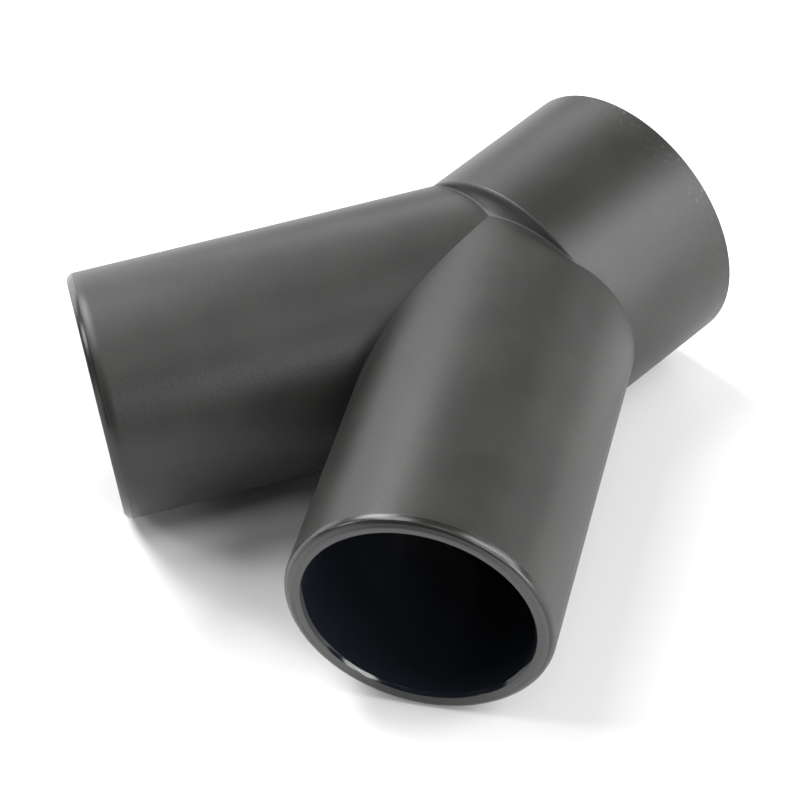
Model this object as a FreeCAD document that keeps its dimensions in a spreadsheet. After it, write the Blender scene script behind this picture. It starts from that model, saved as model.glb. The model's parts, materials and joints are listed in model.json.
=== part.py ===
import FreeCAD, Part
import os
from collections import namedtuple
from math import atan2, cos, sin, sqrt

import Sketcher
from FreeCAD import Placement, Rotation, Vector

# A Y-shaped adapter for suction hoses, moulded in one piece. Two plain tubes spread from a wider
# collar, whose socket takes a tube of the branches' own size.
#
# Frame of the moulding: its three axes cross at the origin and lie in the XY plane. The collar
# points along +Y, and the branches point to -Y, one to each side of the YZ plane. The body's own
# placement then lays the moulding on the floor as it comes to rest, on the collar and on the ends
# of both branches, with the floor at Z = 0 under the middle of the piece.

# Driving sizes in millimetres and degrees: alias, value, meaning.
SIZES = [
    ("spigot_diameter", 38.0, "outside of a branch, and of the tube that the socket takes"),
    ("spigot_wall", 2.9, "wall of a branch"),
    ("branch_reach", 67.2, "from the crossing of the axes to the end of a branch"),
    ("spigot_length", 31.0, "end of a branch whose outside has no draft"),
    ("branch_draft", 0.15, "slope of the branch's outside behind that, wider inwards"),
    ("branch_spread", 61.0, "angle between the two branches"),
    ("branch_lip_round", 1.3, "round on the outer edge of a branch's end"),
    ("branch_bore_bevel", 0.4, "bevel on the inner edge of a branch's end"),
    ("socket_clearance", 0.1, "gap all round between the socket and its tube"),
    ("socket_lead_in", 0.8, "chamfer at the mouth of the socket"),
    ("collar_wall", 2.5, "wall of the collar at its mouth"),
    ("collar_reach", 23.6, "from the crossing of the axes to the mouth of the collar"),
    ("collar_setback", 2.9, "from the crossing back to where the collar's outside ends"),
    ("collar_draft", 0.6, "slope of the collar's outside, which is wider at the mouth"),
    ("collar_lip_bevel", 0.4, "bevel on the outer edge of the collar's mouth"),
    ("crest_round", 0.75, "round where the collar's outside turns down to the branches"),
    ("foot_round", 4.0, "hollow round at the foot of that step"),
    ("foot_relief", 0.4, "how far the foot of the step lies under a branch's outside"),
    ("seam_round", 0.25, "hollow round where a branch meets the collar"),
    ("run_out", 1.0, "how far the cuts run past the ends of the piece"),
]

# Sizes that follow from the driving ones, on the same sheet: alias, formula, meaning.
DERIVED = [
    ("spigot_radius", "=spigot_diameter / 2", "outside radius of a branch"),
    ("bore_radius", "=spigot_radius - spigot_wall", "inside radius of a branch"),
    ("socket_radius", "=spigot_radius + socket_clearance", "inside radius of the collar"),
    ("collar_radius", "=socket_radius + collar_wall", "outside radius of the collar at its mouth"),
    ("root_radius", "=collar_radius - (collar_reach + collar_setback) * tan(collar_draft)",
     "outside radius of the collar where it ends at the branches"),
    ("foot_radius", "=spigot_radius - foot_relief", "radius at the foot of the step"),
    ("half_spread", "=branch_spread / 2", "angle between a branch and the collar's axis"),
    ("draft_length", "=branch_reach - spigot_length", "from the crossing to where the draft ends"),
    ("drafted_radius", "=spigot_radius + draft_length * tan(branch_draft)",
     "outside radius of a branch at the crossing"),
    ("mouth_bevel_start", "=collar_reach - collar_lip_bevel", "where the bevel of the mouth starts"),
    ("end_round_start", "=branch_reach - branch_lip_round", "where the round of a branch's end starts"),
    ("branch_rest", "=end_round_start * cos(half_spread)",
     "from the crossing back to where the branches touch the floor"),
    ("root_slope", "=(root_radius - spigot_radius) / (branch_rest - collar_setback)",
     "slope of the piece if it lies on the inner end of the collar"),
    ("mouth_slope", "=(collar_radius - spigot_radius) / (branch_rest + mouth_bevel_start)",
     "slope of the piece if it lies on the mouth of the collar"),
    ("lying_tilt", "=atan(max(root_slope; mouth_slope)) / 1deg", "the steeper of the two, as an angle"),
    ("lying_height", "=spigot_radius * cos(lying_tilt) + branch_rest * sin(lying_tilt)",
     "height of the crossing above the floor"),
    ("front_extent", "=collar_reach * cos(lying_tilt)"
     " + (collar_radius - collar_lip_bevel) * sin(lying_tilt)",
     "from the crossing to the foremost point, over the floor"),
    ("branch_lean", "=cos(half_spread) * cos(lying_tilt)", "cosine between a branch and -Y as it lies"),
    ("rear_extent", "=end_round_start * branch_lean + (spigot_radius - branch_lip_round)"
     " * sqrt(1 - branch_lean ^ 2) + branch_lip_round", "from the crossing to the rearmost point"),
    ("lying_shift", "=(rear_extent - front_extent) / 2", "sets the origin under the middle"),
]

# A constraint names an edge's ends and its centre by number, and the sketch's own horizontal axis,
# which starts at its origin, as an edge of its own.
START, END, CENTRE = 1, 2, 3
AXIS = -1
ORIGIN = (AXIS, START)

FULL_TURN = 360

# Two faces meet smoothly below this angle, in radians. Below this distance two points are at one
# place.
SMOOTH_ANGLE = 0.02
TOUCHING = 1e-3

# Angles from +X to the axis of the collar and to that of the branch on the +X side.
ALONG_COLLAR = "90"
ALONG_BRANCH = "sizes.half_spread - 90"

# One edge of a section: its number in the sketch, and its two ends in the order that it was drawn.
Edge = namedtuple("Edge", "number begin end")


def make_sheet(doc):
    """The sheet of sizes, with the meaning in column A and the value and its alias in column B."""
    sheet = doc.addObject("Spreadsheet::Sheet", "sizes")
    rows = [(alias, str(value), meaning) for alias, value, meaning in SIZES] + DERIVED
    for row, (alias, content, meaning) in enumerate(rows, start=1):
        sheet.set(f"A{row}", meaning)
        sheet.setAlias(f"B{row}", alias)
        sheet.set(f"B{row}", content)
    doc.recompute()
    return sheet


def origin_plane(body, role):
    """One of the body's own origin planes, found by its role."""
    return next(item for item in body.Origin.OriginFeatures if item.Role == role)


class HalfSection:
    """A sketch of half the section of a round form, in (distance along the axis, radius).

    The sketch lies in the plane of the three axes. Its own horizontal axis is the axis of the form,
    and turn is the angle from +X to it. The outline is drawn edge by edge, each from where the last
    one ended, at about its final place. Its rules and sizes then hold it.
    """

    def __init__(self, body, name, turn, start):
        self.sketch = body.newObject("Sketcher::SketchObject", name)
        self.sketch.AttachmentSupport = [(origin_plane(body, "XY_Plane"), "")]
        self.sketch.MapMode = "FlatFace"
        self.sketch.AttachmentOffset = Placement(Vector(), Rotation(Vector(0, 0, 1), 0))
        self.sketch.setExpression("AttachmentOffset.Rotation.Angle", turn)
        self.place = start
        self.first = self.last = None

    def draw(self, geometry, target, smooth):
        """Adds an edge up to target, joined to the one before it."""
        number = self.sketch.addGeometry(geometry)
        ends = [(number, START), (number, END)]
        if not self.sketch.getPoint(number, START).isEqual(Vector(*self.place), TOUCHING):
            ends.reverse()
        edge = Edge(number, *ends)
        if self.last:
            self.rule("Tangent" if smooth else "Coincident", *self.last.end, *edge.begin)
        self.first = self.first or edge
        self.last = edge
        self.place = target
        return edge

    def line(self, target, smooth=False):
        return self.draw(Part.LineSegment(Vector(*self.place), Vector(*target)), target, smooth)

    def arc(self, centre, target, smooth=True):
        """An arc of less than half a turn about centre."""
        start, middle, end = Vector(*self.place), Vector(*centre), Vector(*target)
        outward = ((start + end) / 2 - middle).normalize()
        crown = middle + outward * middle.distanceToPoint(end)
        return self.draw(Part.Arc(start, crown, end), target, smooth)

    def close(self):
        self.rule("Coincident", *self.last.end, *self.first.begin)

    def rule(self, kind, *references):
        self.sketch.addConstraint(Sketcher.Constraint(kind, *references))

    def size(self, name, kind, *references, follows):
        """A named dimension that follows the sheet."""
        value = float(self.sketch.evalExpression(follows))
        number = self.sketch.addConstraint(Sketcher.Constraint(kind, *references, value))
        self.sketch.renameConstraint(number, name)
        self.sketch.setExpression(f"Constraints.{name}", follows)


def revolve(body, kind, name, section):
    """A revolution, or a groove, of a half section about its own axis."""
    feature = body.newObject(kind, name)
    feature.Profile = section.sketch
    feature.ReferenceAxis = (section.sketch, ["H_Axis"])
    feature.Angle = FULL_TURN
    return feature


def collar_outside(body, size):
    """The collar as a solid of revolution, down to the foot of its step.

    The step turns down from the collar's outside in a small round, and runs out in a hollow one.
    The hollow round shows only between the branches, because each branch covers the rest of it.
    """
    crest_y = size.root_radius - size.crest_round
    foot_y = size.foot_radius + size.foot_round
    both_rounds = size.foot_round + size.crest_round
    foot_x = -size.collar_setback - sqrt(both_rounds ** 2 - (foot_y - crest_y) ** 2)
    heading = atan2(crest_y - foot_y, -size.collar_setback - foot_x)
    meeting = (foot_x + size.foot_round * cos(heading), foot_y + size.foot_round * sin(heading))
    bevel_x = size.collar_reach - size.collar_lip_bevel
    mouth_y = size.collar_radius - size.collar_lip_bevel

    section = HalfSection(body, "collar_outline", ALONG_COLLAR, (foot_x, 0))
    back = section.line((foot_x, size.foot_radius))
    foot = section.arc((foot_x, foot_y), meeting, smooth=False)
    crest = section.arc((-size.collar_setback, crest_y), (-size.collar_setback, size.root_radius))
    side = section.line((bevel_x, size.collar_radius), smooth=True)
    bevel = section.line((size.collar_reach, mouth_y))
    mouth = section.line((size.collar_reach, 0))
    section.line((foot_x, 0))
    section.close()

    section.rule("Vertical", back.number)
    section.rule("Vertical", mouth.number)
    section.rule("PointOnObject", *back.begin, AXIS)
    section.rule("PointOnObject", *mouth.end, AXIS)
    section.rule("Vertical", foot.number, CENTRE, *foot.begin)
    section.size("foot_radius", "DistanceY", *ORIGIN, *foot.begin, follows="sizes.foot_radius")
    section.size("foot_round", "Radius", foot.number, follows="sizes.foot_round")
    section.size("crest_round", "Radius", crest.number, follows="sizes.crest_round")
    section.size("setback", "DistanceX", *crest.end, *ORIGIN, follows="sizes.collar_setback")
    section.size("root_radius", "DistanceY", *ORIGIN, *crest.end, follows="sizes.root_radius")
    section.size("collar_radius", "DistanceY", *ORIGIN, *side.end, follows="sizes.collar_radius")
    section.size("bevel_length", "DistanceX", *bevel.begin, *bevel.end, follows="sizes.collar_lip_bevel")
    section.size("bevel_rise", "DistanceY", *bevel.end, *bevel.begin, follows="sizes.collar_lip_bevel")
    section.size("reach", "DistanceX", *ORIGIN, *mouth.begin, follows="sizes.collar_reach")
    return revolve(body, "PartDesign::Revolution", "collar", section)


def branch_outside(body, size):
    """One branch as a solid rod with a rounded end, from the crossing of the axes outwards.

    Its end is a true cylinder, as long as the hoses need. Behind that it widens a little inwards.
    """
    lip_x = size.branch_reach - size.branch_lip_round
    lip_y = size.spigot_radius - size.branch_lip_round

    section = HalfSection(body, "branch_outline", ALONG_BRANCH, (0, 0))
    back = section.line((0, size.drafted_radius))
    root = section.line((size.draft_length, size.spigot_radius))
    side = section.line((lip_x, size.spigot_radius))
    lip = section.arc((lip_x, lip_y), (size.branch_reach, lip_y))
    mouth = section.line((size.branch_reach, 0), smooth=True)
    section.line((0, 0))
    section.close()

    section.rule("Coincident", *back.begin, *ORIGIN)
    section.rule("Vertical", back.number)
    section.rule("Horizontal", side.number)
    section.rule("Vertical", mouth.number)
    section.rule("PointOnObject", *mouth.end, AXIS)
    section.size("drafted_radius", "DistanceY", *ORIGIN, *back.end, follows="sizes.drafted_radius")
    section.size("draft_length", "DistanceX", *ORIGIN, *root.end, follows="sizes.draft_length")
    section.size("spigot_radius", "DistanceY", *ORIGIN, *root.end, follows="sizes.spigot_radius")
    section.size("lip_round", "Radius", lip.number, follows="sizes.branch_lip_round")
    section.size("reach", "DistanceX", *ORIGIN, *mouth.begin, follows="sizes.branch_reach")
    return revolve(body, "PartDesign::Revolution", "branch", section)


def branch_bore(body, size):
    """The hollow of one branch, from the crossing of the axes out past the bevel at its end."""
    bevel_x = size.branch_reach - size.branch_bore_bevel
    past_bevel = size.branch_bore_bevel + size.run_out
    past_end = size.branch_reach + size.run_out

    section = HalfSection(body, "branch_bore_outline", ALONG_BRANCH, (0, 0))
    back = section.line((0, size.bore_radius))
    wall = section.line((bevel_x, size.bore_radius))
    bevel = section.line((past_end, size.bore_radius + past_bevel))
    mouth = section.line((past_end, 0))
    section.line((0, 0))
    section.close()

    section.rule("Coincident", *back.begin, *ORIGIN)
    section.rule("Vertical", back.number)
    section.rule("Horizontal", wall.number)
    section.rule("Vertical", mouth.number)
    section.rule("PointOnObject", *mouth.end, AXIS)
    section.size("bore_radius", "DistanceY", *ORIGIN, *back.end, follows="sizes.bore_radius")
    section.size("wall_end", "DistanceX", *ORIGIN, *wall.end,
                 follows="sizes.branch_reach - sizes.branch_bore_bevel")
    section.size("bevel_length", "DistanceX", *bevel.begin, *bevel.end,
                 follows="sizes.branch_bore_bevel + sizes.run_out")
    section.size("bevel_rise", "DistanceY", *bevel.begin, *bevel.end,
                 follows="sizes.branch_bore_bevel + sizes.run_out")
    return revolve(body, "PartDesign::Groove", "branch_bore", section)


def socket(body, size):
    """The socket in the collar, with a chamfer at its mouth. Its floor is at the crossing.

    What is left of the floor above and below the two bores stops the tube that goes in.
    """
    chamfer_x = size.collar_reach - size.socket_lead_in
    past_lead_in = size.socket_lead_in + size.run_out
    past_mouth = size.collar_reach + size.run_out

    section = HalfSection(body, "socket_outline", ALONG_COLLAR, (0, 0))
    floor = section.line((0, size.socket_radius))
    wall = section.line((chamfer_x, size.socket_radius))
    chamfer = section.line((past_mouth, size.socket_radius + past_lead_in))
    mouth = section.line((past_mouth, 0))
    section.line((0, 0))
    section.close()

    section.rule("Coincident", *floor.begin, *ORIGIN)
    section.rule("Vertical", floor.number)
    section.rule("Horizontal", wall.number)
    section.rule("Vertical", mouth.number)
    section.rule("PointOnObject", *mouth.end, AXIS)
    section.size("socket_radius", "DistanceY", *ORIGIN, *floor.end, follows="sizes.socket_radius")
    section.size("wall_end", "DistanceX", *ORIGIN, *wall.end,
                 follows="sizes.collar_reach - sizes.socket_lead_in")
    section.size("chamfer_length", "DistanceX", *chamfer.begin, *chamfer.end,
                 follows="sizes.socket_lead_in + sizes.run_out")
    section.size("chamfer_rise", "DistanceY", *chamfer.begin, *chamfer.end,
                 follows="sizes.socket_lead_in + sizes.run_out")
    return revolve(body, "PartDesign::Groove", "socket", section)


def mirror(body, feature, name):
    """The same feature on the other side of the YZ plane."""
    mirrored = body.newObject("PartDesign::Mirrored", name)
    mirrored.Originals = [feature]
    mirrored.MirrorPlane = (origin_plane(body, "YZ_Plane"), [""])
    body.Tip = mirrored
    return mirrored


def is_sharp(shape, edge):
    """True where two faces meet in a corner, and not smoothly."""
    middle = edge.valueAt((edge.FirstParameter + edge.LastParameter) / 2)
    faces = shape.ancestorsOfType(edge, Part.Face)
    normals = [face.normalAt(*face.Surface.parameter(middle)) for face in faces]
    return len(normals) == 2 and normals[0].getAngle(normals[1]) > SMOOTH_ANGLE


def is_askew(edge):
    """True for an edge that is neither in the plane between the branches nor square to the collar."""
    return edge.BoundBox.XLength > TOUCHING and edge.BoundBox.YLength > TOUCHING


def round_seams(body, base):
    """A hollow round along each seam between a branch and the collar.

    The crease between the two branches is sharp on the piece. So is the divider between their bores,
    where the cores of the mould meet.
    """
    shape = base.Shape
    fillet = body.newObject("PartDesign::Fillet", "seam_rounds")
    fillet.Base = (base, [f"Edge{number}" for number, edge in enumerate(shape.Edges, start=1)
                          if is_askew(edge) and is_sharp(shape, edge)])
    fillet.setExpression("Radius", "sizes.seam_round")
    body.Tip = fillet


def lay_down(body, size):
    """Lays the moulding on the floor: it slopes, because the collar is wider than the branches."""
    body.Placement = Placement(Vector(), Rotation(Vector(1, 0, 0), size.lying_tilt))
    body.setExpression("Placement.Rotation.Angle", "sizes.lying_tilt")
    body.setExpression("Placement.Base.y", "sizes.lying_shift")
    body.setExpression("Placement.Base.z", "sizes.lying_height")


def make_adapter(doc, size):
    """The one moulded piece. Its solid outside is joined and rounded before it is hollowed."""
    body = doc.addObject("PartDesign::Body", "adapter")
    body.Label = "y_adapter_body"
    collar_outside(body, size)
    branch = branch_outside(body, size)
    doc.recompute()
    outside = mirror(body, branch, "other_branch")
    doc.recompute()
    round_seams(body, outside)
    doc.recompute()
    bore = branch_bore(body, size)
    doc.recompute()
    mirror(body, bore, "other_bore")
    doc.recompute()
    socket(body, size)
    lay_down(body, size)
    doc.recompute()
    return body


def check(doc, body):
    """Stops here if anything in the document failed to build."""
    for item in doc.Objects:
        faults = [word for word in item.State if word in ("Invalid", "Error")]
        if faults:
            raise RuntimeError(f"{item.Name} is {' and '.join(faults)}")
    if body.Shape.isNull() or not body.Shape.isValid() or len(body.Shape.Solids) != 1:
        raise RuntimeError(f"{body.Label} is not one sound solid")


def main():
    doc = FreeCAD.newDocument("y_adapter")
    sheet = make_sheet(doc)
    body = make_adapter(doc, sheet)
    check(doc, body)
    os.makedirs("parts", exist_ok=True)
    body.Shape.exportStep(f"parts/{body.Label}.step")
    box = body.Shape.BoundBox
    print(f"{body.Label}: {box.XLength:.2f} x {box.YLength:.2f} x {box.ZLength:.2f} mm,"
          f" {body.Shape.Volume / 1000:.2f} cubic cm, {len(body.Shape.Faces)} faces")


main()
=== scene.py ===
# %% [markdown]
# # A moulded Y adapter for suction hoses
#
# Two plain tubes spread from a wider collar, all moulded in one piece of black plastic. The shape is
# already made, as one solid at its real size, so this notebook gives it a finish, a floor, light and
# a camera. A black moulding is a good first lesson in looks. Nearly all that the eye gets from it is
# reflection, so its finish is mostly a matter of gloss and of very small relief.
#
# The part is loaded first. Its object sits at the origin of the scene, in metres, and its place is in
# its mesh, so a point's object coordinates are also its place in the part's own frame.

# %% Load the part
import json
from math import cos, radians, sin, tan

import bpy
from mathutils import Matrix, Vector

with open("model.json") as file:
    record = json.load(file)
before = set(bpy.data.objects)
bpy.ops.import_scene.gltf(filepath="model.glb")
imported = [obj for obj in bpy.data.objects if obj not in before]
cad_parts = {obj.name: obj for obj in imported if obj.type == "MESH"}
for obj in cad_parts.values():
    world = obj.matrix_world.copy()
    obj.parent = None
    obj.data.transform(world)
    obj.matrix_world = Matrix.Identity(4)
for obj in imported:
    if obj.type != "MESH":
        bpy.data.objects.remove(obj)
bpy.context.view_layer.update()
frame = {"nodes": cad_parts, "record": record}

MM = 0.001

adapter = frame["nodes"]["y_adapter_body"]

# %% [markdown]
# ## Where things are on the part
#
# The finish changes from place to place: the bores are smooth where the outside is grained, and the
# rims have their own wear. To say where that is, the finish needs the axes and radii of the three
# hollows, which are the socket in the collar and the bore of each branch. They could be typed in
# again, but the part's record already gives them, as the places where a hose or a tube goes in.
# Reading them from there keeps the finish true if the part ever changes.

# %% Read the hollows from the record
mounts = {mount["name"]: mount for mount in frame["record"]["mounts"]}


class Hollow:
    """A round hollow of the part: its middle, axis, radius and half length, in metres."""

    def __init__(self, mount_name):
        mount = mounts[mount_name]
        self.middle = Vector(mount["pos_m"])
        self.axis = Vector(mount["axis"]).normalized()
        self.radius = mount["dims"]["r_mm"] * MM
        self.half_length = mount["dims"]["length_mm"] * MM / 2


socket = Hollow("collar_socket")
bores = [Hollow("right_bore"), Hollow("left_bore")]
for name, hollow in zip(["socket", "right bore", "left bore"], [socket, *bores]):
    print(f"{name}: radius {hollow.radius / MM:.1f} mm, length {2 * hollow.half_length / MM:.1f} mm")

# %% [markdown]
# ## The camera
#
# The part is seen from above the right-hand branch, at a medium distance, so the near mouth looks a
# little larger than the far one. A camera can be placed by typing its matrix, but that tells a reader
# nothing. Here it is placed as a photographer would: a point to aim at, how far round and how high
# the camera stands, how far away, and how much it is tipped about its own line of sight.

# %% Place the camera
AIM = Vector((-0.00244, -0.00374, 0.01475))
CAMERA_AROUND = radians(48.30)
CAMERA_UP = radians(41.56)
CAMERA_ROLL = radians(-4.97)
CAMERA_DISTANCE = 0.3720
NEAREST_SEEN = 10 * MM

# The lens and its sensor are in millimetres, as on a real camera. The rest is in metres.
LENS = 111.0
SENSOR = 36


def direction(around, up):
    """From the part towards a place around it. Zero is in front, and positive is to the right."""
    return Vector((sin(around) * cos(up), -cos(around) * cos(up), sin(up)))


def facing_along(line_of_sight):
    """The rotation of a camera or a light that looks along line_of_sight."""
    return line_of_sight.to_track_quat("-Z", "Y").to_matrix().to_4x4()


def place_camera():
    """Adds the camera that the scene is rendered with."""
    camera = bpy.data.objects.new("camera", bpy.data.cameras.new("camera"))
    bpy.context.scene.collection.objects.link(camera)
    camera.data.lens = LENS
    camera.data.sensor_width = SENSOR
    camera.data.clip_start = NEAREST_SEEN
    towards = direction(CAMERA_AROUND, CAMERA_UP)
    place = Matrix.Translation(AIM + towards * CAMERA_DISTANCE)
    camera.matrix_world = place @ facing_along(-towards) @ Matrix.Rotation(CAMERA_ROLL, 4, "Z")
    bpy.context.scene.camera = camera
    return camera


camera = place_camera()
print("camera at", [round(c, 4) for c in camera.matrix_world.translation])

# %% [markdown]
# ## The studio
#
# A dark glossy thing shows the room it stands in, so the room is what has to be designed. Large soft
# boxes stand to the left, to the right and behind, and hardly anything bright stands near the camera.
# That is why the flanks of the tubes are light, while the part of each tube that faces the camera
# stays dark, and why each form reads clearly on a pale floor. Three small boxes only draw lines: one
# on the crest of the collar, and two on the near lip and on the bevel of the near bore.
#
# The room itself gives no light, and Blender's Standard view keeps a white floor white, where its
# usual view would turn it grey.

# %% Light the part
WORLD_STRENGTH = 0.0
SOFT_BOX_DISTANCE = 1.2
LARGE = 0.5
SMALL = 0.28

# Degrees around, degrees up, metres wide and watts.
SOFT_BOXES = {
    "left_high": (-90, 48, LARGE, 10.7),
    "left_top": (-60, 68, LARGE, 5.6),
    "left_low": (-84, 9, LARGE, 2.6),
    "left_rear_low": (-108, 9, LARGE, 2.1),
    "left_rear": (-132, 27, LARGE, 2.5),
    "rear": (-156, 27, LARGE, 2.2),
    "rear_low": (180, 9, LARGE, 1.7),
    "front_low": (-15, 9, LARGE, 1.2),
    "front_left": (-52, 30, SMALL, 3.0),
    "right": (81, 22, SMALL, 2.2),
    "right_middle": (72, 33, SMALL, 2.6),
    "right_top": (60, 68, LARGE, 1.9),
    "right_low": (108, 9, LARGE, 8.8),
    "right_rear": (132, 27, LARGE, 5.4),
    "right_rear_high": (120, 48, LARGE, 6.4),
}


def hang_soft_box(name, around, up, width, power):
    """Hangs a square soft box that faces the part."""
    lamp = bpy.data.lights.new(name, "AREA")
    lamp.energy = power
    lamp.size = width
    soft_box = bpy.data.objects.new(name, lamp)
    bpy.context.scene.collection.objects.link(soft_box)
    towards = direction(radians(around), radians(up))
    soft_box.matrix_world = Matrix.Translation(towards * SOFT_BOX_DISTANCE) @ facing_along(-towards)


def set_world():
    """Sets the light that comes from the room itself."""
    world = bpy.data.worlds.new("studio")
    world.use_nodes = True
    world.node_tree.nodes["Background"].inputs["Strength"].default_value = WORLD_STRENGTH
    bpy.context.scene.world = world


for name, (around, up, width, power) in SOFT_BOXES.items():
    hang_soft_box(name, around, up, width, power)
set_world()
bpy.context.scene.view_settings.view_transform = "Standard"
print(len(SOFT_BOXES), "soft boxes")

# %% [markdown]
# ## Writing a finish as sums
#
# A finish in Blender is a graph of nodes. Joining nodes one by one in Python hides the idea behind
# the wiring, so this cell makes a small helper. A Value stands for one output of a node. Adding or
# multiplying values adds the right node and joins it up, so a mask can be written as a sum.

# %% Make the helper for sums
class Value:
    """An output of a node. Python's operators on it add Math nodes, or Vector Math for a vector."""

    def __init__(self, finish, output):
        self.finish, self.output = finish, output
        self.is_vector = output.type == "VECTOR"

    def combine(self, operation, *terms, output=0):
        """The result of one operation, which is on vectors if any of its terms is a vector."""
        vectors = any(isinstance(term, Vector) or getattr(term, "is_vector", False) for term in terms)
        kind = "ShaderNodeVectorMath" if vectors else "ShaderNodeMath"
        return self.finish.node(kind, {"operation": operation}, dict(enumerate(terms)), output)

    def __add__(self, other):
        return self.combine("ADD", self, other)

    def __sub__(self, other):
        return self.combine("SUBTRACT", self, other)

    def __rsub__(self, other):
        return self.combine("SUBTRACT", other, self)

    def __mul__(self, other):
        return self.combine("MULTIPLY", self, other)

    __radd__, __rmul__ = __add__, __mul__

    def largest(self, other):
        return self.combine("MAXIMUM", self, other)

    def dot(self, vector):
        return self.combine("DOT_PRODUCT", self, vector, output="Value")

    def length(self):
        return self.combine("LENGTH", self, output="Value")

    def normalized(self):
        return self.combine("NORMALIZE", self)

    def remap(self, step, low, high):
        """0 below low and 1 above high, with that kind of step between."""
        return self.finish.node("ShaderNodeMapRange", {"interpolation_type": step},
                                {"Value": self, "From Min": low, "From Max": high}, "Result")

    def rise(self, low, high):
        """From 0 at low to 1 at high, with soft ends."""
        return self.remap("SMOOTHSTEP", low, high)

    def fall(self, low, high):
        """From 1 at low to 0 at high, with soft ends."""
        return 1 - self.rise(low, high)

    def ramp(self, low, high):
        """From 0 at low to 1 at high, in a straight line."""
        return self.remap("LINEAR", low, high)


print("sums are ready")

# %% [markdown]
# ## Holding a finish together
#
# A Value has to know which material its node belongs to, so a second helper holds the material. It
# could have a method for each kind of node, but Blender has dozens of them. One method does for all,
# as it takes the kind, the settings and what goes into each socket. Only mixing, laying one thing
# over another and noise get a short form of their own, because this finish uses them often.

# %% Make the helper for finishes
# The numbers of a Mix node's two inputs and of its output, for each kind of content.
MIX_SOCKETS = {"FLOAT": (2, 3, 0), "VECTOR": (4, 5, 1), "RGBA": (6, 7, 2)}


class Finish:
    """A material, with one method that adds any node to it."""

    def __init__(self, name):
        self.material = bpy.data.materials.new(name)
        self.material.use_nodes = True
        self.tree = self.material.node_tree
        self.shader = self.tree.nodes["Principled BSDF"]
        coordinates = self.tree.nodes.new("ShaderNodeTexCoord")
        self.place = Value(self, coordinates.outputs["Object"])

    def node(self, kind, settings, sockets, output=0):
        """Adds a node, sets it up, fills its sockets with values or links, and returns one output."""
        node = self.tree.nodes.new(kind)
        for key, setting in settings.items():
            setattr(node, key, setting)
        for key, content in sockets.items():
            self.fill(node.inputs[key], content)
        return Value(self, node.outputs[output])

    def fill(self, target, content):
        """Links a Value to a socket, or sets the socket. A single number fills all of a vector."""
        if isinstance(content, Value):
            self.tree.links.new(content.output, target)
        elif target.type == "VECTOR" and isinstance(content, (int, float)):
            target.default_value = (content,) * 3
        else:
            target.default_value = content

    def mix(self, kind, factor, start, end):
        """Start where factor is 0 and end where it is 1, for a FLOAT, a VECTOR or an RGBA colour."""
        first, second, output = MIX_SOCKETS[kind]
        return self.node("ShaderNodeMix", {"data_type": kind},
                         {0: factor, first: start, second: end}, output)

    def layered(self, kind, ground, layers):
        """The ground, with each layer laid over those before it where its own mask is 1."""
        for mask, layer in layers:
            ground = self.mix(kind, mask, ground, layer)
        return ground

    def noise(self, size, detail, roughness):
        """Soft random patches of about that size in metres, from 0 to 1."""
        return self.node("ShaderNodeTexNoise", {}, {"Vector": self.place, "Scale": 1 / size,
                                                    "Detail": detail, "Roughness": roughness}, "Fac")

    def set(self, **sockets):
        """Fills sockets of the shader. An underscore stands for a space in a socket's name."""
        for key, content in sockets.items():
            self.fill(self.shader.inputs[key.replace("_", " ")], content)


print("finishes are ready")

# %% [markdown]
# ## Inside, lip and rim
#
# The outside of the part is shaped by the two halves of the mould, which have a fine grain eroded
# into them. The bores and the ends are shaped by polished cores, which draw out along each axis.
# These places could be painted on the mesh by hand. Here they are sums, because a sum has a sharp
# border from any distance and follows the part if its sizes change.
#
# The finish asks of each point how far it lies along each hollow's axis and how far from it. A point
# is inside if it is nearer to the axis than the wall. Past the grained stretch it is on a lip, then
# on the flat face of the end, and nearest to the bore it is on the small bevel.

# %% Tell the bores and lips from the outside
# EDGE is the soft border of a mask, and LIP_DEPTH is how long before the bore's end the lip starts.
EDGE = 0.05 * MM
LIP_DEPTH = 0.6 * MM
BORE_BEVEL = 0.4 * MM
SOCKET_CHAMFER = 0.8 * MM

black = Finish("moulded_black")

# For each hollow, how far a point lies along the axis from the middle, and its offset from the axis.
along_axis, off_axis = {}, {}
for hollow in [socket, *bores]:
    offset = black.place - hollow.middle
    along_axis[hollow] = offset.dot(hollow.axis)
    off_axis[hollow] = offset - along_axis[hollow] * hollow.axis


def inside_of(hollow, bevel_size):
    """1 on the wall of a hollow, and on the bevel of that size at its mouth."""
    reach = hollow.radius + bevel_size
    near_axis = off_axis[hollow].length().fall(reach, reach + EDGE)
    start = -hollow.half_length - EDGE
    return near_axis * along_axis[hollow].rise(start - EDGE, start)


def past_end_of(hollow, depth, soft):
    """1 from depth metres before a hollow's outer end onwards, after a soft stretch."""
    start = hollow.half_length - depth
    return along_axis[hollow].rise(start - soft, start)


def past_either_end(depth):
    """1 from depth metres before the outer end of either bore onwards, inside it and outside it."""
    right, left = [past_end_of(bore, depth, EDGE) for bore in bores]
    return right.largest(left)


inside = inside_of(socket, SOCKET_CHAMFER)
for bore in bores:
    inside = inside.largest(inside_of(bore, BORE_BEVEL))
outside = 1 - inside

# A plain bore ends where its bevel starts, so the face lies a bevel's depth past its end.
lip = past_either_end(LIP_DEPTH) * outside
face = past_either_end(EDGE - BORE_BEVEL) * outside
bevel = past_either_end(0) * inside
print("masks for", 1 + len(bores), "hollows and", len(bores), "lips")

# %% [markdown]
# ## How light turns over the lips
#
# A highlight shows where a surface faces, so a line of light on a lip tells how its round runs. A
# normal that is worked out, and not taken from the mesh, can bend that line without touching the
# shape, as a normal map does. Here it turns from the outside of the tube to its end, more gently on
# the left-hand lip, and reaches a little way onto the face. That draws a dark line beside a bright
# one. The bevel of the bore gets a facing that leans a little more at its inner edge than at its outer.

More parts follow.
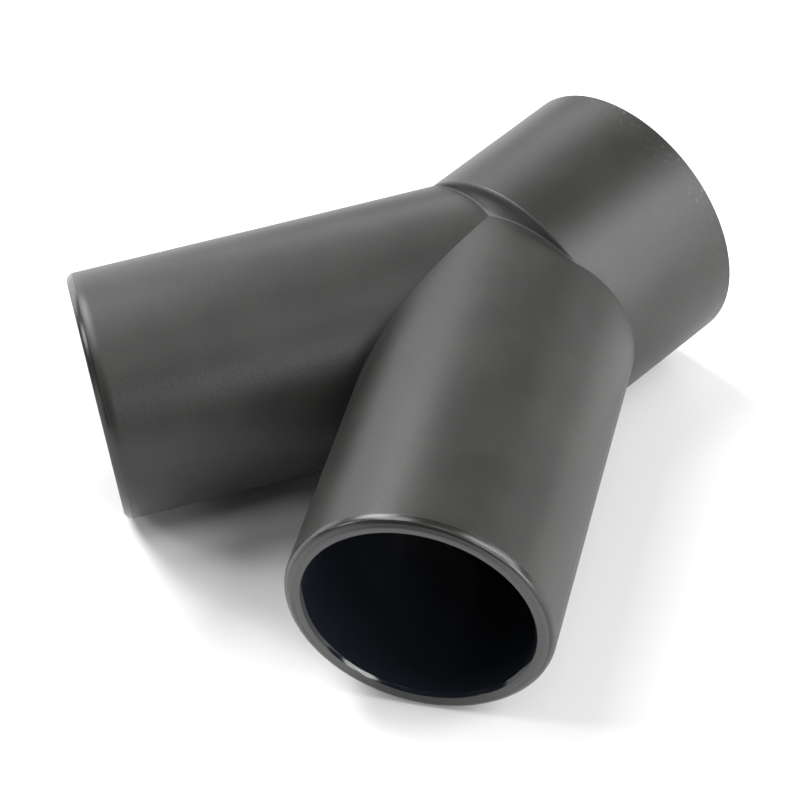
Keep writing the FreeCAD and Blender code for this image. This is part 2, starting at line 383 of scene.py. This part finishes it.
# %% Work out the normals at the lips
# For the right-hand lip and the left-hand one: where the turn starts, measured from the end of the
# plain bore, and how far it has gone at that end and at LIP_TOP. 0 is outwards, 1 is along the axis.
LIP_TURNS = [(-0.9 * MM, 0.28, 0.60), (-2.0 * MM, 0.42, 0.50)]
LIP_TOP = 0.25 * MM

# Over this range outside the bore's radius, the face turns back outwards by that share.
FACE_TURN_RANGE = (0.85 * MM, 1.5 * MM)
FACE_TURN_BACK = 0.42

# How far the bevel's normals lean from the axis towards the middle of the bore.
BEVEL_INNER_DEGREES = 55
BEVEL_OUTER_DEGREES = 49


def facing_at_end(bore, turn_from, turn_at_end, turn_at_top):
    """Normals over the lip and on the bevel of a branch, and 1 where they take over."""
    outwards = off_axis[bore].normalized()
    across = off_axis[bore].length() - bore.radius
    along = along_axis[bore] - bore.half_length
    on_face = along.rise(BORE_BEVEL - EDGE, BORE_BEVEL - EDGE / 2)
    flat = 1 - FACE_TURN_BACK * across.ramp(*FACE_TURN_RANGE)
    turn = turn_at_end * along.ramp(turn_from, 0) + (turn_at_top - turn_at_end) * along.ramp(0, LIP_TOP)
    turn = turn.largest(on_face * flat)
    over_lip = ((1 - turn) * outwards + turn * bore.axis).normalized()
    inner_lean = tan(radians(BEVEL_INNER_DEGREES))
    outer_lean = tan(radians(BEVEL_OUTER_DEGREES))
    lean = inner_lean + (outer_lean - inner_lean) * across.ramp(0, BORE_BEVEL)
    on_bevel = (outwards * lean * -1 + bore.axis).normalized()
    return over_lip, on_bevel, along.rise(turn_from - EDGE, turn_from)


print("the bevels lean from", BEVEL_INNER_DEGREES, "to", BEVEL_OUTER_DEGREES, "degrees")

# %% [markdown]
# ## Grain, clouds, wear, and painted light and shade
#
# A matt black moulding isn't one colour. Close up there is the eroded grain of the mould, a few
# tenths of a millimetre across, which scatters the light. Over centimetres the gloss drifts a little,
# because the plastic cools unevenly. Round the rim of the collar, handling leaves paler flecks. Each
# of these is a noise of its own size. The end faces of the branches are given a paler colour as
# painted light, but not low down, where they stay darker as painted shade. The creases are made
# duller, and darker as painted shade. Ambient occlusion finds them, as it tells how much of the
# open air a point can see, so they need no line drawn by hand.

# %% Make the patterns
GRAIN_SIZE = 0.45 * MM
CLOUD_SIZE = 9 * MM
CLOUD_RANGE = (0.35, 0.7)
FLECK_SIZE = 0.7 * MM
FLECK_RANGE = (0.60, 0.72)
RIM_WEAR_DEPTH = 0.5 * MM
RIM_WEAR_FADE = 4 * MM
# Heights over which the painted light on the end faces comes in. Below them the faces stay darker, as
# painted shade.
PAINTED_LIGHT_HEIGHTS = (2 * MM, 8 * MM)
UPWARDS = Vector((0, 0, 1))
CREASE_REACH = 2.5 * MM
CREASE_RANGE = (0.72, 0.97)
PROBE_RAYS = 8

grain = black.noise(GRAIN_SIZE, detail=3, roughness=0.6)
clouds = black.noise(CLOUD_SIZE, detail=4, roughness=0.55)
flecks = black.noise(FLECK_SIZE, detail=2, roughness=0.7)
rim = past_end_of(socket, RIM_WEAR_DEPTH, RIM_WEAR_FADE)
worn = rim * flecks.rise(*FLECK_RANGE)
# Painted light: the end faces are paler above their lowest few millimetres, which stay darker as
# painted shade.
end_face_painted_light = face * black.place.dot(UPWARDS).rise(*PAINTED_LIGHT_HEIGHTS)
# Painted shade: the creases that ambient occlusion finds are made darker, and also duller.
open_air = black.node("ShaderNodeAmbientOcclusion", {"samples": PROBE_RAYS, "only_local": True},
                      {"Distance": CREASE_REACH}, "AO")
crease_shade_and_dullness = open_air.fall(*CREASE_RANGE) * outside
print(f"grain of {GRAIN_SIZE / MM} mm, clouds of {CLOUD_SIZE / MM} mm, flecks of {FLECK_SIZE / MM} mm")

# %% [markdown]
# ## Colour
#
# Even black plastic sends back one or two percent of the light, a little warm here, and where it is
# worn it sends back more. Two layers are painted light and shade: the creases are darker, as painted
# shade, and the end faces are paler, as painted light, except low down, where they stay darker as
# painted shade. One picture painted over the part could show all that, but it would be fixed to one
# shape. So the colour is built in layers, as a painter lays glazes: each pattern is the mask of its
# own colour. The bores come last, darker as painted shade and a touch blue, and cover whatever the
# other patterns did in there.

# %% Layer the colours
OUTSIDE_COLOUR = (0.0145, 0.0140, 0.0130, 1)
PALER_COLOUR = (0.0200, 0.0193, 0.0180, 1)
# A painted shade for the creases.
PAINTED_CREASE_SHADE_COLOUR = (0.008, 0.008, 0.008, 1)
FLECK_COLOUR = (0.16, 0.16, 0.155, 1)
FLECK_STRENGTH = 0.4
# A painted light for the end faces. Their lowest part keeps the darker colour, as painted shade.
PAINTED_FACE_LIGHT_COLOUR = (0.050, 0.049, 0.049, 1)
# A painted shade for the hollows: darker than the outside, and a touch blue.
PAINTED_SHADE_INSIDE_COLOUR = (0.008, 0.010, 0.014, 1)

colour_layers = [
    (clouds.rise(*CLOUD_RANGE), PALER_COLOUR),
    (crease_shade_and_dullness, PAINTED_CREASE_SHADE_COLOUR),
    (worn * FLECK_STRENGTH, FLECK_COLOUR),
    (end_face_painted_light, PAINTED_FACE_LIGHT_COLOUR),
    (inside, PAINTED_SHADE_INSIDE_COLOUR),
]
colour = black.layered("RGBA", OUTSIDE_COLOUR, colour_layers)
print(len(colour_layers), "layers of colour")

# %% [markdown]
# ## Gloss
#
# Roughness is the opposite of gloss: it says how far a reflection is smeared out. On the outside the
# grain smears it, and in the dull creases it is smeared even more. What the polished cores have
# shaped is glossier, above all the bevel, whose glint is the brightest thing on the part. One number
# for the whole part would be simpler, but then everything would shine alike, as no moulding does.

# %% Layer the roughness
OUTSIDE_ROUGHNESS = 0.38
CLOUD_ROUGHNESS = 0.03
GRAIN_ROUGHNESS = 0.05
CREASE_ROUGHNESS = 0.65
LIP_ROUGHNESS = 0.26
FACE_ROUGHNESS = 0.35
INSIDE_ROUGHNESS = 0.22
BEVEL_ROUGHNESS = 0.12

roughness_layers = [
    (crease_shade_and_dullness, CREASE_ROUGHNESS),
    (lip, LIP_ROUGHNESS),
    (face, FACE_ROUGHNESS),
    (inside, INSIDE_ROUGHNESS),
    (bevel, BEVEL_ROUGHNESS),
]
grained_roughness = OUTSIDE_ROUGHNESS + CLOUD_ROUGHNESS * clouds + GRAIN_ROUGHNESS * grain
roughness = black.layered("FLOAT", grained_roughness, roughness_layers)
print(len(roughness_layers), "layers of roughness")

# %% [markdown]
# ## Relief
#
# No moulded edge is truly sharp, and a highlight needs a little width to run along one. Rounding
# them all in the mesh would take many faces. A Bevel node rounds them in the shading alone, and over
# the lips and the bevels of the bores the worked-out normals take its place. The grain is far too
# fine to model, so a Bump node presses it in last. It does so on the outside only, because the cores
# that shape the rest are polished.

# %% Add the relief and dress the part
EDGE_SOFTNESS = 0.15 * MM
GRAIN_DEPTH = 0.022 * MM

facing = black.node("ShaderNodeBevel", {"samples": PROBE_RAYS}, {"Radius": EDGE_SOFTNESS})
for bore, lip_turn in zip(bores, LIP_TURNS):
    over_lip, on_bevel, near_end = facing_at_end(bore, *lip_turn)
    facing = black.layered("VECTOR", facing, [
        (near_end * outside, over_lip),
        (near_end * bevel, on_bevel),
    ])
relief = black.node("ShaderNodeBump", {}, {"Distance": GRAIN_DEPTH, "Normal": facing,
                                           "Height": grain * outside * (1 - lip)}, "Normal")
black.set(Base_Color=colour, Roughness=roughness, Normal=relief)
for slot in adapter.material_slots:
    slot.material = black.material
print("finish has", len(black.tree.nodes), "nodes")

# %% [markdown]
# ## The floor
#
# The part lies on a plain pale sheet, on its collar and on the ends of both branches. A very large
# plane is the simplest sheet, and a matt white finish keeps it from showing anything but soft
# shadows.

# %% Lay the floor
FLOOR_SIZE = 6
FLOOR_COLOUR = (0.8, 0.8, 0.8, 1)
FLOOR_ROUGHNESS = 1.0


def lay_floor():
    """Lays a sheet under the part, centred on the origin."""
    bpy.ops.mesh.primitive_plane_add(size=FLOOR_SIZE)
    floor = bpy.context.object
    floor.name = "floor"
    sheet = Finish("pale_sheet")
    sheet.set(Base_Color=FLOOR_COLOUR, Roughness=FLOOR_ROUGHNESS)
    floor.data.materials.append(sheet.material)


lay_floor()
print("floor of", FLOOR_SIZE, "m")
